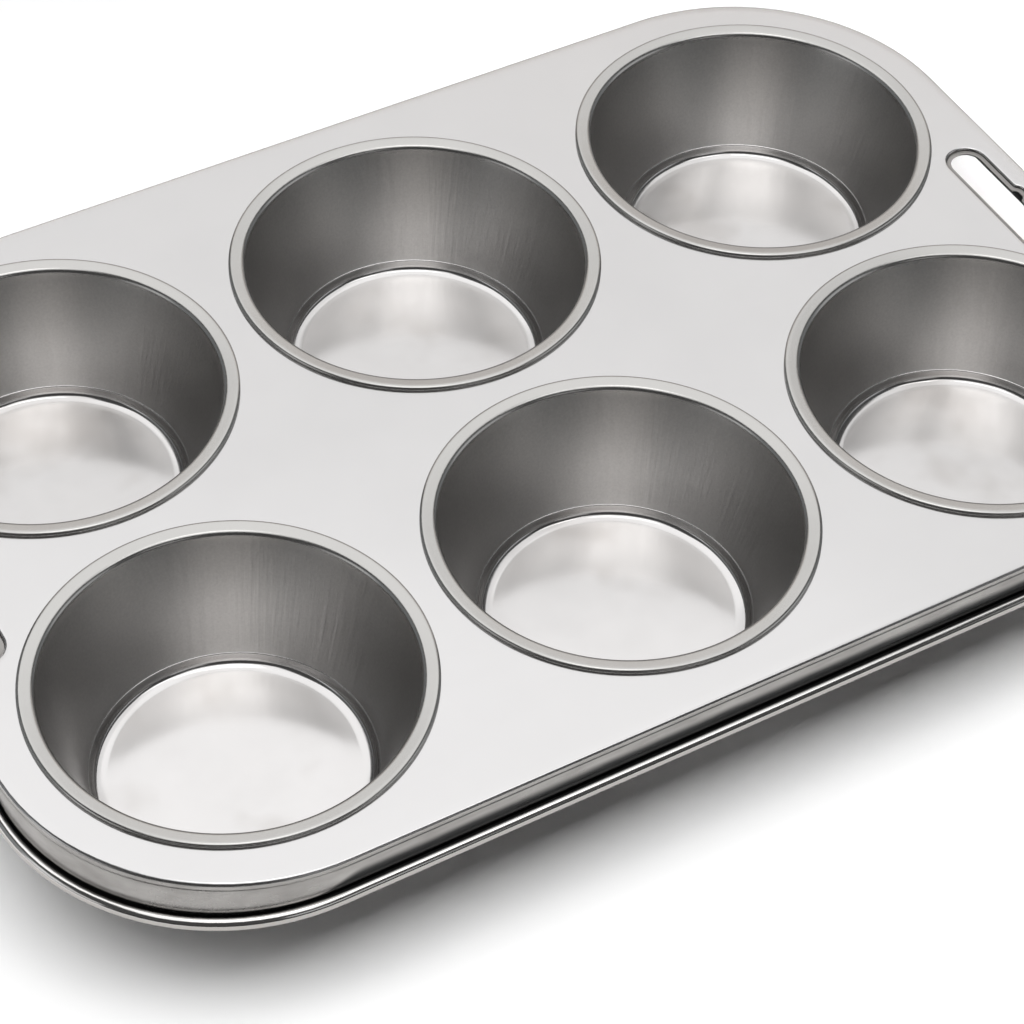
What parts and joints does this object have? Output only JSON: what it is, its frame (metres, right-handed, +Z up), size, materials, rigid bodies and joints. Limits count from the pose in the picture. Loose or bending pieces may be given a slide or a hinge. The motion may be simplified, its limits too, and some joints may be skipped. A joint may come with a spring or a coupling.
{
  "type": "jumbo muffin pan",
  "caption": "Rectangular tinplate baking pan: deep tapered cups seamed into a flat deck with rounded corners, a rolled wire rim and a hanging slot at each end.",
  "frame": {"origin": "on the table, under the middle of the pan", "axes": "+X along the pan's length, +Y across it to the back row, +Z up out of the cups"},
  "size_m": [0.3314, 0.2282, 0.0362],
  "materials": {
    "tray_tin": "bright rolled tinplate",
    "cup_tin": "drawn tinplate, satin on the wall",
    "wire_steel": "drawn steel wire"
  },
  "bodies": {
    "root": {"tray_sheet": "tray_tin", "rim_wire": "wire_steel", "cup_front_left": "cup_tin", "cup_front_middle": "cup_tin", "cup_front_right": "cup_tin", "cup_back_left": "cup_tin", "cup_back_middle": "cup_tin", "cup_back_right": "cup_tin"}
  },
  "joints": []
}
